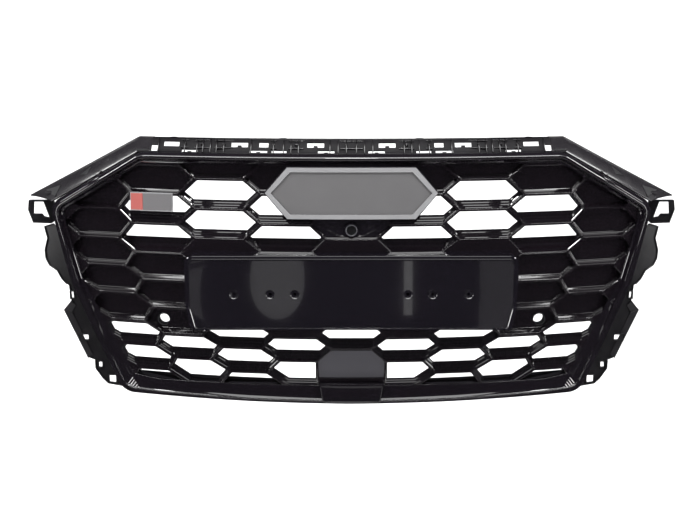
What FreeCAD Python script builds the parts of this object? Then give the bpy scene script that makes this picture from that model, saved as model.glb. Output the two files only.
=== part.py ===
import FreeCAD, Part
import math
import os

# Front grille, millimetres. +X is the viewer's right, the grille faces -Y and +Z is up.
# The origin is midway between the two inner screw holes on top of the upper rail.

# Double-curved front surface: a sphere whose foremost point lies on the centreline.
front_radius = 1500.0
pole_y = -66.0
pole_z = -250.0

# Outline of the surround, left half: x, z, corner radius, ridge inset, reveal width.
top_z = -20.0
bottom_z = -429.0
outline_corners = [
    (-340.0, top_z, 40.0, 6.0, 17.0),
    (-499.0, -109.0, 26.0, 10.0, 19.0),
    (-466.0, -238.0, 150.0, 13.0, 22.0),
    (-384.0, -424.0, 30.0, 11.0, 34.0),
]
top_middle = (0.0, top_z, 0.0, 6.0, 15.0)
bottom_middle = (0.0, bottom_z, 0.0, 7.0, 35.0)
station_step = 60.0
smallest_inner_radius = 10.0
arc_steps = 5

# Surround and carrier sections, measured inwards and forwards of the front surface.
skin = 3.0
bead_height = 14.5
land_height = 9.0
wall_back = -8.0
carrier_gap = 0.3
carrier_back = -23.5
mesh_rim_front = -3.0
mesh_rim_back = -19.4
web_front = -20.6
ridge_half = 4.0
block_foot_half = 46.0
block_top_z = -391.0
block_low_z = -424.0
block_depth = 6.0
mesh_back = -25.0

# Honeycomb: columns are counted from the middle, rows in half-cell steps from the top.
column_x = [0.0, 104.5, 211.0, 318.0, 414.0, 513.0]
first_row_z = -35.9
row_steps = [(5, 23.9), (6, 22.9), (8, 20.9)]
row_sag = 5.5
sag_reach = 414.0
taper_row = 5
taper_linear = 0.014
taper_square = 0.00065
bar_half = 39.5
bar_shrink = 1.0
outer_bar_factor = 0.87
crest_half = 1.5
mesh_depth = 25.0
pocket_lead = 4.0
pocket_run = 6.0
blind_depth = 12.0
bar_rise = 11.0
sill_rise = {(3, 2): 15.0, (1, 4): 20.0, (3, 4): 20.0, (1, 14): 17.0, (3, 14): 15.0}
bar_drop = 3.0
hood_drop = 9.0
lower_side_draft = 5.5
upper_side_draft = 3.0

back_pocket_floor = 3.0
back_pocket_wall = 2.2
back_pocket_draft = 2.5

open_cells = {0: [11], 1: [2, 4, 12, 14], 2: [1, 3, 11, 13, 15], 3: [2, 4, 12, 14], 4: [11, 13, 15]}
blind_cells = {0: [1], 1: [0], 2: [-1], 3: [0, 6, 8, 10], 4: [1, 3, 5, 7, 9]}
shelf_cells = {0: [5], 2: [5]}
hooded_cells = [(3, 12), (4, 11), (1, 12)]

# Number plate plinth.
plinth_y = -94.0
plinth_top = -174.0
plinth_bottom = -294.0
plinth_half = 262.0
plinth_foot_half = 254.0
plinth_taper_z = -255.0
plinth_wall = 3.0
plate_screw_z = -236.0
plate_screw_x = [89.0, 128.0, 185.0]
plate_pilot_r = 2.25
plate_dimple_r = 7.5
plate_dimple_depth = 1.5
plinth_fixings = [(45.0, -196.0), (225.0, -196.0), (45.0, -274.0), (225.0, -274.0)]
plinth_mid_z = -235.0
plinth_back_size = (482.0, 94.0)
plinth_round = 14.0
plinth_clearance = 0.3
boss_r = 5.5
boss_length = 18.0
fixing_boss_r = 5.0
pad_gap = 0.6
pad_middle = (-62.0, 62.0)
pad_side = (150.0, 248.0)

# Upper rail.
rail_reach = 322.0
rail_thickness = 2.4
rail_lip_front = -12.0
rail_lip_back = 6.0
rail_foot_front = -40.0
rail_foot_back = -31.0
rail_hole_r = 3.25
inner_hole_x = 110.0
outer_hole_x = 290.0
outer_hole_y = 26.0
upper_windows = [(57.0, 27.0), (140.0, 15.0), (179.0, 27.0), (291.0, 26.0)]
lower_windows = [(40.0, 26.0), (115.0, 24.0), (148.0, 28.0), (260.0, 26.0)]
upper_window_z = (-11.8, -4.4)
lower_window_z = (-19.8, -15.8)
rib_half = 0.9
rib_x = [8.0, 34.0, 84.0, 124.0, 160.0, 204.0, 226.0, 248.0, 268.0, 312.0]

# Wing panel, left side: inner edge and outer edge at each station, x and z.
wing_stations = [((-323.5, -19.5), (-323.5, -0.5)), ((-346.0, -20.5), (-350.0, -0.5)),
                 ((-424.0, -64.0), (-452.0, -54.0)), ((-500.0, -106.0), (-553.0, -106.0))]
wing_inner_back = 9.0
wing_outer_back = 50.0
wing_skin = (0.3, 0.9, -2.2)
wing_slots = [(-410.0, -56.0), (-506.0, -100.0)]
wing_slot_size = (12.0, 16.0, 5.0)

# Shoulder hook and side bracket, left side.
hook_outline = [(-551, -112), (-553, -128), (-546, -151), (-514, -152), (-504, -142), (-510, -112)]
hook_window = [(-544, -114.5), (-526, -114.5), (-517, -143), (-528, -141), (-532, -136), (-546, -136)]
hook_front = 78.0
hook_back = 88.0
bracket_front = -17.0
bracket_back = -20.0
bracket_top_z = -145.0
bracket_low_z = -418.0
bracket_edge = [(-390, -423), (-415, -421), (-425, -412), (-437, -395), (-437, -379), (-448, -376),
                (-488, -292), (-474, -275), (-477, -248), (-483, -247), (-490, -240), (-497, -226),
                (-512, -218), (-518, -206), (-519, -192), (-513, -171), (-518, -152), (-500, -146)]
bracket_windows = [
    [(-414, -417), (-402, -417), (-402, -404), (-414, -404)],
    [(-432, -391), (-426, -391), (-424, -381), (-431, -381)],
    [(-462, -344), (-447, -343), (-447, -334), (-462, -335)],
    [(-473, -271), (-469, -271), (-470, -260), (-474, -260)],
]

# Sensor bores, camera, radar cover, emblem and badge.
sensor_x = 309.0
sensor_z = -294.5
sensor_r = 9.0
camera_z = -139.0
camera_ring_r = 9.5
ring_thickness = 1.6
pod_front = -7.0
pod_back = -11.0
pod_nose_base_r = 13.0
pod_nose_tip_r = 11.5
pod_nose_length = 9.0
radar_clearance = 1.6
radar_screw_x = 38.0
radar_screw_z = (-348.0, -372.0)
radar_cover_front = -2.5
radar_cover_back = -6.2
radar_rim_back = -9.0
housing_front = -6.5
housing_floor = -21.0
housing_back = -24.0
radar_points = [(32.5, -337.5), (54.5, -357.5), (52.5, -384.0)]
screw_head_r = 3.5
screw_head_height = 2.2
screw_shank_r = 1.9
long_screw = 17.0
short_screw = 8.0
frame_screw_inset = 10.4
emblem_half_x = 138.0
emblem_half_z = 42.0
emblem_cut = 36.0
emblem_z = -80.0
emblem_fronts = (5.0, 7.5, 10.0)
stud_x = 90.0
stud_rise = 14.0
stud_r = 2.0
stud_length = 30.0
nut_r = 5.4
nut_thickness = 1.2
badge_x = -321.5
badge_z = -98.5
badge_size = (71.0, 29.0)
badge_border = 1.5
badge_red_share = 0.28
badge_fronts = (3.0, 5.0)
badge_foot_back = -12.0


def vec(x, y, z):
    return FreeCAD.Vector(x, y, z)


def surface_y(x, z, forward=0.0):
    """Y of the front surface at x, z, moved forwards."""
    rise = front_radius ** 2 - x ** 2 - (z - pole_z) ** 2
    return pole_y + front_radius - math.sqrt(rise) - forward


def ball(forward):
    centre = vec(0, pole_y + front_radius, pole_z)
    return Part.makeSphere(front_radius + forward, centre)


def prism(points, y_front=-140.0, y_back=160.0):
    """Closed x, z outline pushed along Y."""
    corners = [vec(x, y_front, z) for x, z in points]
    face = Part.Face(Part.makePolygon(corners + corners[:1]))
    return face.extrude(vec(0, y_back - y_front, 0))


def shell_plate(points, front, back):
    """Outline cut out of the layer between two forward offsets of the front surface."""
    return prism(points).common(ball(front)).cut(ball(back))


def rod(x, y, z, radius, length):
    """Cylinder along +Y."""
    return Part.makeCylinder(radius, length, vec(x, y, z), vec(0, 1, 0))


def mirrored(shape):
    return shape.mirror(vec(0, 0, 0), vec(1, 0, 0))


def fused(shapes):
    """One solid from touching shapes."""
    body = shapes[0].fuse(shapes[1:]) if len(shapes) > 1 else shapes[0]
    return body.removeSplitter()


def polyhedron(points, faces):
    """Solid with flat faces, each given as corner indices."""
    sides = []
    for face in faces:
        corners = [points[i] for i in face]
        sides.append(Part.Face(Part.makePolygon(corners + corners[:1])))
    solid = Part.Solid(Part.Shell(sides))
    if solid.Volume < 0:
        solid.reverse()
    return solid


def save(name, shape):
    solids = shape.Solids
    kept = solids[0] if len(solids) == 1 else Part.makeCompound(solids)
    kept.exportStep(f"parts/{name}.step")
    print(name, len(solids), "solids", round(kept.Volume / 1000, 1), "cm3", kept.isValid())


# ---- outline stations

def straight_run(leave, arrive, heading):
    """Stations from one point of the outline to the next: x, z, shift along the run, inset, width."""
    steps = max(1, round(math.hypot(arrive[0] - leave[0], arrive[1] - leave[1]) / station_step))
    stations = []
    for i in range(steps + 1):
        x, z, shift, inset, width = (a + (b - a) * i / steps for a, b in zip(leave, arrive))
        inward_x = -math.sin(heading) + math.cos(heading) * shift / width
        inward_z = math.cos(heading) + math.sin(heading) * shift / width
        stations.append((x, z, inward_x, inward_z, inset, width))
    return stations


def half_outline():
    """Stations down the left half: x, z, inward direction x and z, ridge inset, reveal width.

    The inner edge of the reveal keeps a radius of its own at each corner, so the inward
    directions lean towards the corner where the outer radius is smaller than the reveal.
    """
    corners = [top_middle] + outline_corners + [bottom_middle]
    stations = []
    leave = (top_middle[0], top_middle[1], 0.0, top_middle[3], top_middle[4])
    for before, corner, after in zip(corners, corners[1:], corners[2:]):
        corner_x, corner_z, radius, inset, width = corner
        heading = math.atan2(corner_z - before[1], corner_x - before[0])
        turn = (math.atan2(after[1] - corner_z, after[0] - corner_x) - heading) % (2 * math.pi)
        lean = math.tan(turn / 2)
        inner_radius = max(radius - width, smallest_inner_radius)
        shift = (width + inner_radius - radius) * lean
        end_x = corner_x - radius * lean * math.cos(heading)
        end_z = corner_z - radius * lean * math.sin(heading)
        stations += straight_run(leave, (end_x, end_z, -shift, inset, width), heading)
        centre_x = end_x - radius * math.sin(heading)
        centre_z = end_z + radius * math.cos(heading)
        reach = (width + inner_radius) / radius
        inner_x = corner_x + reach * (centre_x - corner_x)
        inner_z = corner_z + reach * (centre_z - corner_z)
        for i in range(1, arc_steps):
            angle = heading + turn * i / arc_steps
            x = centre_x + radius * math.sin(angle)
            z = centre_z - radius * math.cos(angle)
            inward_x = (inner_x + inner_radius * math.sin(angle) - x) / width
            inward_z = (inner_z - inner_radius * math.cos(angle) - z) / width
            stations.append((x, z, inward_x, inward_z, inset, width))
        out = heading + turn
        leave = (corner_x + radius * lean * math.cos(out), corner_z + radius * lean * math.sin(out),
                 shift, inset, width)
    x, z, radius, inset, width = bottom_middle
    stations += straight_run(leave, (x, z, 0.0, inset, width), out)
    stations[-1] = (x, z, 0.0, 1.0, inset, width)
    return stations


def full_outline():
    left = half_outline()
    right = [(-x, z, -nx, nz, inset, width) for x, z, nx, nz, inset, width in left[1:-1]]
    return left + right[::-1]


def ring(stations, section):
    """Closed ring whose section is a function of the ridge inset and the reveal width."""
    wires = []
    for x, z, nx, nz, inset, width in stations:
        points = []
        for inward, forward in section(inset, width):
            px = x + nx * inward
            pz = z + nz * inward
            points.append(vec(px, surface_y(px, pz, forward), pz))
        wires.append(Part.makePolygon(points + points[:1]))
    return Part.makeLoft(wires, True, True, True)


def inset_outline(stations, inward, from_reveal=False):
    points = []
    for x, z, nx, nz, inset, width in stations:
        distance = inward + (width if from_reveal else 0.0)
        points.append((x + nx * distance, z + nz * distance))
    return points


# ---- surround and carrier

def bezel_section(inset, width):
    return [
        (0.0, wall_back), (0.0, 4.0), (0.25 * (inset - ridge_half), 7.5), (inset - ridge_half, land_height),
        (inset - 2.5, bead_height - 1.5), (inset, bead_height), (inset + 2.5, bead_height - 1.0),
        (inset + ridge_half, bead_height - 4.5), (width, 1.0), (width, -2.0),
        (inset + 3, 6.5), (skin, 4.0), (skin, wall_back),
    ]


def carrier_section(inset, width):
    outer = skin + carrier_gap
    inner = outer + skin
    return [
        (outer, carrier_back), (outer, 3.0), (inner, 3.0), (inner, web_front),
        (width - 1, web_front), (width - 1, carrier_back),
    ]


def lower_block():
    """Raised block on the bottom of the surround, below the radar cover."""
    half = radar_points[2][0]
    points = [(-half, block_top_z), (half, block_top_z), (block_foot_half, block_low_z),
              (-block_foot_half, block_low_z)]
    return shell_plate(points, bead_height - 1.0, bead_height - 1.0 - block_depth)


# ---- honeycomb

def row_z(k, x):
    """Height of row k, counted down through runs of equal steps and sagging away from the middle."""
    z = first_row_z - row_sag * (x / sag_reach) ** 2
    for count, step in row_steps:
        rows = min(k, count)
        z -= rows * step
        k -= rows
    return z


def bar(c, k):
    """Left end, right end and height of the bar in column c at row k."""
    below = max(0, k - taper_row)
    scale = 1 - taper_linear * below - taper_square * below ** 2
    half = bar_half - bar_shrink * below
    if abs(c) == 4:
        half *= outer_bar_factor
    x = math.copysign(column_x[abs(c)], c) * scale
    return x - half, x + half, row_z(k, x)


def cell_corners(c, k):
    """Crest hexagon between the bars at rows k and k + 2, clockwise from top left."""
    top_left, top_right, top = bar(c, k)
    low_left, low_right, low = bar(c, k + 2)
    left = bar(c - 1, k + 1)
    right = bar(c + 1, k + 1)
    return [(top_left, top), (top_right, top), (right[0], right[2]),
            (low_right, low), (low_left, low), (left[1], left[2])]


def inset_polygon(points, distances):
    """Each edge moved inwards by its own distance, for a clockwise polygon."""
    lines = []
    for (x0, z0), (x1, z1), d in zip(points, points[1:] + points[:1], distances):
        length = math.hypot(x1 - x0, z1 - z0)
        nx = (z1 - z0) / length
        nz = -(x1 - x0) / length
        lines.append((nx, nz, nx * x0 + nz * z0 + d))
    corners = []
    for (a0, b0, c0), (a1, b1, c1) in zip(lines[-1:] + lines[:-1], lines):
        det = a0 * b1 - a1 * b0
        corners.append(((c0 * b1 - c1 * b0) / det, (a0 * c1 - a1 * c0) / det))
    return corners


def tapered_cell(c, k, levels):
    """Hexagonal frustum on the tangent plane at the cell: two depths, each with six edge insets."""
    corners = cell_corners(c, k)
    mid_x = sum(p[0] for p in corners) / 6
    mid_z = sum(p[1] for p in corners) / 6
    offset = surface_y(mid_x, mid_z)
    to_centre = front_radius + pole_y - offset
    slope_x = mid_x / to_centre
    slope_z = (mid_z - pole_z) / to_centre
    points = []
    for depth, insets in levels:
        for x, z in inset_polygon(corners, insets):
            points.append(vec(x, offset + slope_x * (x - mid_x) + slope_z * (z - mid_z) + depth, z))
    faces = [(0, 1, 2, 3, 4, 5), (11, 10, 9, 8, 7, 6)]
    faces += [(i, i + 6, (i + 1) % 6 + 6, (i + 1) % 6) for i in range(6)]
    return polyhedron(points, faces)


def pocket(c, k, depth, extra=0.0):
    """Front opening of a cell, narrowing to the rear."""
    drop = hood_drop if (abs(c), k) in hooded_cells else bar_drop
    rise = sill_rise.get((abs(c), k), bar_rise)
    drafts = [drop, upper_side_draft, lower_side_draft, rise, lower_side_draft, upper_side_draft]
    levels = []
    for level in (-pocket_lead, depth):
        grow = level / mesh_depth
        levels.append((level, [crest_half + extra + draft * grow for draft in drafts]))
    return tapered_cell(c, k, levels)


def back_pocket(c, k):
    """Hollow behind a closed cell, so that its floor and walls are thin."""
    narrow = back_pocket_wall + back_pocket_draft
    return tapered_cell(c, k, [(blind_depth + back_pocket_floor, [narrow] * 6),
                               (mesh_depth + pocket_run, [back_pocket_wall] * 6)])


def all_cells(table):
    for column, rows in table.items():
        for k in rows:
            yield column, k
            if column:
                yield -column, k


def honeycomb_mesh(stations):
    rim = shell_plate(inset_outline(stations, 2 * skin + 2 * carrier_gap), mesh_rim_front, mesh_rim_back)
    field = shell_plate(inset_outline(stations, carrier_gap, True), 0.0, mesh_back)
    slab = rim.fuse(field)
    opening = prism(inset_outline(stations, 2.5, True))
    through = mesh_depth + pocket_run
    cutters = [pocket(c, k, through).common(opening) for c, k in all_cells(open_cells)]
    for c, k in all_cells(blind_cells):
        cutters.append(pocket(c, k, blind_depth).common(opening))
        cutters.append(back_pocket(c, k).common(opening))
    cutters += [back_pocket(c, k) for c, k in all_cells(shelf_cells)]
    cutters.append(pocket(0, 3, through))
    cutters.append(shell_plate(radar_outline(radar_clearance), 5.0, -40.0))
    cutters.append(block(0, plinth_mid_z, *plinth_back_size, mesh_back + 20, mesh_back - 30))
    collars = []
    for x in (-sensor_x, sensor_x):
        y = surface_y(x, sensor_z)
        collars.append(rod(x, y + blind_depth, sensor_z, sensor_r + 4.5, 8.0))
        cutters.append(rod(x, y - 30, sensor_z, sensor_r + 2.0, 90))
    return slab.cut(cutters[:-2]).fuse(collars).cut(cutters[-2:])


# ---- number plate plinth

def plinth_outline(inset):
    top, bottom = plinth_top - inset, plinth_bottom + inset
    half, foot = plinth_half - inset, plinth_foot_half - inset
    round_r = plinth_round - inset
    left = [(-half, plinth_taper_z), (-half, top - round_r)]
    for i in range(1, 6):
        angle = math.pi - i * math.pi / 12
        left.append((-half + round_r + round_r * math.cos(angle), top - round_r + round_r * math.sin(angle)))
    left.append((-half + round_r, top))
    right = [(-x, z) for x, z in left[::-1]]
    return left + right + [(foot, bottom), (-foot, bottom)]


def wedge(front_z, front_x, top_z_value, top_x):
    """Sloping shelf pad from the front rim back and up to a bar of the honeycomb."""
    (f0, f1), (t0, t1) = front_x, top_x
    points = [
        vec(f0, plinth_y, front_z), vec(f1, plinth_y, front_z),
        vec(t0, surface_y(t0, top_z_value, pad_gap), top_z_value),
        vec(t1, surface_y(t1, top_z_value, pad_gap), top_z_value),
        vec(f0, surface_y(f0, front_z, pad_gap), front_z),
        vec(f1, surface_y(f1, front_z, pad_gap), front_z),
    ]
    faces = [(0, 1, 2), (1, 3, 2), (0, 2, 4), (1, 5, 3), (2, 3, 5), (2, 5, 4), (0, 4, 5, 1)]
    return polyhedron(points, faces).cut(ball(plinth_clearance))


def plate_plinth():
    shell = prism(plinth_outline(0), plinth_y, 0).cut(ball(plinth_clearance))
    cavity = prism(plinth_outline(plinth_wall), plinth_y + plinth_wall, 0).cut(ball(plinth_clearance - 0.05))
    tray = shell.cut(cavity)
    bosses = []
    for x in plate_screw_x:
        bosses += [rod(side * x, plinth_y + 1, plate_screw_z, boss_r, boss_length) for side in (-1, 1)]
    for x, z in plinth_fixings:
        for side in (-1, 1):
            boss = rod(side * x, plinth_y + 1, z, fixing_boss_r, 80)
            bosses.append(boss.cut(ball(plinth_clearance)))
    pads = []
    for column, front_x in ((0, pad_middle), (2, pad_side)):
        left, right, height = bar(column, 5)
        pads.append(wedge(plinth_top, front_x, height - crest_half, (left + 1, right - 1 - column)))
    pads.append(mirrored(pads[-1]))
    body = fused([tray] + bosses + pads)
    holes = []
    for x in plate_screw_x:
        for side in (-1, 1):
            holes.append(rod(side * x, plinth_y - 1, plate_screw_z, plate_pilot_r, boss_length - 1))
            holes.append(rod(side * x, plinth_y - 1, plate_screw_z, plate_dimple_r, 1 + plate_dimple_depth))
    return body.cut(holes)


# ---- upper rail, wing panels and brackets

def rail_profile():
    """Corners of the rail's section on the centreline, y and z."""
    foot_top = top_z - skin - carrier_gap + rail_thickness
    foot_low = foot_top - rail_thickness
    return [
        (rail_foot_front, foot_low), (rail_foot_front, foot_top), (rail_foot_front + 2, foot_top + 1),
        (rail_lip_front, 0.0), (rail_lip_back, 0.0), (rail_lip_back, -rail_thickness),
        (rail_lip_front + 1.2, -rail_thickness), (rail_foot_front + 6, foot_top), (rail_foot_back, foot_top),
        (rail_foot_back, foot_low),
    ]


def swept(profile, x_from, x_to):
    """Section turned about the upright axis of the front surface, between two x values."""
    axis_y = pole_y + front_radius
    corners = [vec(0, y, z) for y, z in profile]
    face = Part.Face(Part.makePolygon(corners + corners[:1]))
    radius = axis_y - surface_y(0, top_z)
    start = math.degrees(math.asin(x_from / radius))
    sweep = math.degrees(math.asin(x_to / radius)) - start
    axis = vec(0, axis_y, 0)
    turned = face.copy()
    turned.rotate(axis, vec(0, 0, 1), start)
    return turned.revolve(axis, vec(0, 0, 1), sweep)


def rail_y(x):
    """How far the curve of the rail has moved back at x."""
    radius = pole_y + front_radius - surface_y(0, top_z)
    return radius - math.sqrt(radius ** 2 - x ** 2)


def upper_rail():
    rail = swept(rail_profile(), -rail_reach, rail_reach)
    ribs = []
    for x in rib_x:
        rib = [(rail_foot_front + 3, -18.5), (rail_lip_front - 6, -1.0), (rail_lip_front + 2, -0.5),
               (rail_lip_front + 4, -9.0), (rail_foot_back - 2, -20.0)]
        ribs += [swept(rib, side * x - rib_half, side * x + rib_half) for side in (-1, 1)]
    body = fused([rail] + ribs)
    cuts = []
    for windows, (low, high) in ((upper_windows, upper_window_z), (lower_windows, lower_window_z)):
        for x, width in windows:
            y = rail_y(x) + rail_foot_front - 2
            for side in (-1, 1):
                cuts.append(Part.makeBox(width, 36, high - low, vec(side * x - width / 2, y, low)))
    for side in (-1, 1):
        for x, y in ((inner_hole_x, 0.0), (outer_hole_x, outer_hole_y)):
            cuts.append(Part.makeCylinder(rail_hole_r, 10, vec(side * x, y, -6), vec(0, 0, 1)))
    return body.cut(cuts)


def wing_panel():
    """Sloping panel outboard of the diagonal edge of the surround, left side."""
    wires = []
    down = vec(*wing_skin)
    for (ix, iz), (ox, oz) in wing_stations:
        inner = vec(ix, surface_y(ix, iz, -wing_inner_back), iz)
        outer = vec(ox, surface_y(ox, oz, -wing_outer_back), oz)
        wires.append(Part.makePolygon([inner, outer, outer + down, inner + down, inner]))
    panel = Part.makeLoft(wires, True, True)
    width, depth, height = wing_slot_size
    slots = []
    for x, z in wing_slots:
        corner = vec(x - width / 2, surface_y(x, z) + wing_inner_back - 1, z - height / 2)
        slots.append(Part.makeBox(width, depth, height, corner))
    return panel.cut(slots)


def shoulder_hook():
    """Loop hanging from the end of the wing panel, left side."""
    return prism(hook_outline, hook_front, hook_back).cut(prism(hook_window))


def side_bracket(stations):
    """Fin and fixing tabs beyond the side of the surround, left side."""
    gap = skin + carrier_gap
    inner = [(x + nx * gap, z + nz * gap) for x, z, nx, nz, inset, width in stations
             if x < outline_corners[3][0] + 4 and bracket_low_z < z < bracket_top_z]
    plate = shell_plate(inner + bracket_edge, bracket_front, bracket_back)
    return plate.cut([prism(window) for window in bracket_windows])


# ---- inserts

def hexagon_plate(half_x, half_z, cut, centre_z, front, back):
    points = [(-half_x, centre_z), (-half_x + cut, centre_z + half_z), (half_x - cut, centre_z + half_z),
              (half_x, centre_z), (half_x - cut, centre_z - half_z), (-half_x + cut, centre_z - half_z)]
    return shell_plate(points, front, back)


def block(centre_x, centre_z, width, height, front, back):
    x, z = width / 2, height / 2
    points = [(centre_x - x, centre_z - z), (centre_x + x, centre_z - z),
              (centre_x + x, centre_z + z), (centre_x - x, centre_z + z)]
    return shell_plate(points, front, back)


def camera_pod():
    plate = pocket(0, 3, mesh_depth, 0.3).common(ball(pod_front)).cut(ball(pod_back))
    y = surface_y(0, camera_z)
    nose = Part.makeCone(pod_nose_base_r, pod_nose_tip_r, pod_nose_length,
                         vec(0, y + pod_nose_length, camera_z), vec(0, -1, 0))
    body = fused([plate, nose])
    return body.cut(rod(0, y - 5, camera_z, camera_ring_r - 1.5, 30))


def camera_ring():
    y = surface_y(0, camera_z) - ring_thickness
    disc = rod(0, y, camera_z, camera_ring_r, ring_thickness)
    return disc.cut(rod(0, y - 1, camera_z, camera_ring_r - 2, 5))


def camera_plug():
    return rod(0, surface_y(0, camera_z) + 1.0, camera_z, camera_ring_r - 1.8, 9.0)


def radar_outline(grow):
    (a, top), (b, mid), (c, low) = radar_points
    right = [(a + grow, top + grow), (b + grow, mid), (c + grow, low - grow)]
    return right + [(-x, z) for x, z in right[::-1]]


def radar_housing():
    frame = shell_plate(radar_outline(1.0), housing_front, housing_back)
    return frame.cut(shell_plate(radar_outline(-3.0), 0, housing_floor))


def sensor_holder(side):
    x = side * sensor_x
    y = surface_y(x, sensor_z) + blind_depth - 1.0
    tube = rod(x, y, sensor_z, sensor_r + 1.8, 17.0)
    collar = rod(x, y + 14.2, sensor_z, sensor_r + 5.0, 2.8)
    return fused([tube, collar]).cut(rod(x, y - 1, sensor_z, sensor_r, 30))


def screw(x, y, z, shank):
    """Screw driven forwards from behind, head at y."""
    head = rod(x, y, z, screw_head_r, screw_head_height)
    return fused([head, rod(x, y - shank, z, screw_shank_r, shank + 0.5)])


def frame_screws(stations):
    screws = []
    for x, z, nx, nz, inset, width in stations[1:-1:2]:
        px, pz = x + nx * frame_screw_inset, z + nz * frame_screw_inset
        screws.append(screw(px, surface_y(px, pz, carrier_back), pz, long_screw))
    return Part.makeCompound(screws)


def plinth_screws():
    screws = []
    for x, z in plinth_fixings:
        for side in (-1, 1):
            screws.append(screw(side * x, surface_y(x, z, mesh_back + 20.5), z, long_screw))
    return Part.makeCompound(screws)


def emblem_parts():
    base_front, inlay_front, rim_front = emblem_fronts
    base = hexagon_plate(emblem_half_x, emblem_half_z, emblem_cut, emblem_z, base_front, 1.0)
    studs = []
    for x in (-stud_x, stud_x):
        for z in (emblem_z - stud_rise, emblem_z + stud_rise):
            studs.append(rod(x, surface_y(x, z, 2.0), z, stud_r, stud_length))
    half_x, half_z, cut = emblem_half_x - 11, emblem_half_z - 9, emblem_cut - 5
    rim = hexagon_plate(emblem_half_x - 2, emblem_half_z - 2, emblem_cut - 1, emblem_z, rim_front, base_front)
    well = hexagon_plate(half_x, half_z, cut, emblem_z, rim_front + 2, base_front - 1)
    inlay = hexagon_plate(half_x - 0.3, half_z - 0.3, cut, emblem_z, inlay_front, base_front)
    return fused([base] + studs), rim.cut(well), inlay, studs


def push_nuts(studs):
    """Spring steel nuts pressed on the emblem studs behind the honeycomb."""
    nuts = []
    for stud in studs:
        box = stud.BoundBox
        nut = rod(box.Center.x, box.YMax - 5.0, box.Center.z, nut_r, nut_thickness)
        nuts.append(nut.cut(rod(box.Center.x, box.YMax - 6.0, box.Center.z, stud_r, 4.0)))
    return Part.makeCompound(nuts)


def badge_parts():
    """Plain side badge: a carrier plate, a coloured block and a satin block."""
    width, height = badge_size
    plate_front, block_front = badge_fronts
    plate = block(badge_x, badge_z, width, height, plate_front, 0.6)
    foot = block(badge_x + width / 2 - 6, badge_z, 8.0, height - 6, 0.6, badge_foot_back)
    red_width = badge_red_share * width
    red_x = badge_x - width / 2 + badge_border + red_width / 2
    grey_width = width - red_width - 2 * badge_border - 0.5
    grey_x = badge_x + width / 2 - badge_border - grey_width / 2
    inner = height - 2 * badge_border
    red = block(red_x, badge_z, red_width, inner, block_front, plate_front)
    grey = block(grey_x, badge_z, grey_width, inner, block_front, plate_front)
    return fused([plate, foot]), red, grey


def radar_cover():
    plate = shell_plate(radar_outline(0.0), radar_cover_front, radar_cover_back)
    rim = shell_plate(radar_outline(-3.4), radar_cover_back, radar_rim_back)
    return fused([plate, rim.cut(shell_plate(radar_outline(-5.6), radar_cover_back + 1, radar_rim_back - 1))])


def radar_screws():
    screws = []
    for x in (-radar_screw_x, radar_screw_x):
        for z in radar_screw_z:
            screws.append(screw(x, surface_y(x, z, housing_back - 0.3), z, short_screw))
    return Part.makeCompound(screws)


os.makedirs("parts", exist_ok=True)
stations = full_outline()

fixings = frame_screws(stations)
bezel = fused([ring(stations, bezel_section), lower_block()])
carrier = ring(stations, carrier_section).cut(fixings)
mesh = honeycomb_mesh(stations).cut(fixings)
save("surround_bezel", bezel)
save("carrier_frame", carrier)
plinth_fixers = plinth_screws()
emblem_base, emblem_rim, emblem_inlay, emblem_studs = emblem_parts()
badge_plate, badge_red, badge_grey = badge_parts()
mesh = mesh.cut([plinth_fixers, emblem_base, badge_plate])
save("honeycomb_mesh", mesh)
save("plate_plinth", plate_plinth().cut(plinth_fixers))
save("upper_rail", upper_rail())
for name, maker in (("wing_panel", wing_panel), ("shoulder_hook", shoulder_hook)):
    save(name + "_left", maker())
    save(name + "_right", mirrored(maker()))
bracket = side_bracket(stations)
save("side_bracket_left", bracket)
save("side_bracket_right", mirrored(bracket))
save("emblem_base", emblem_base)
save("emblem_rim", emblem_rim)
save("emblem_inlay", emblem_inlay)
save("emblem_push_nuts", push_nuts(emblem_studs))
save("badge_plate", badge_plate)
save("badge_red_block", badge_red)
save("badge_grey_block", badge_grey)
save("camera_pod", camera_pod())
save("camera_ring", camera_ring())
save("camera_plug", camera_plug())
radar_fixers = radar_screws()
save("radar_cover", radar_cover())
save("radar_housing", radar_housing().cut(radar_fixers))
save("sensor_holder_left", sensor_holder(-1))
save("sensor_holder_right", sensor_holder(1))
save("frame_screws", fixings)
save("plinth_screws", plinth_fixers)
save("radar_screws", radar_fixers)
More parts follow.
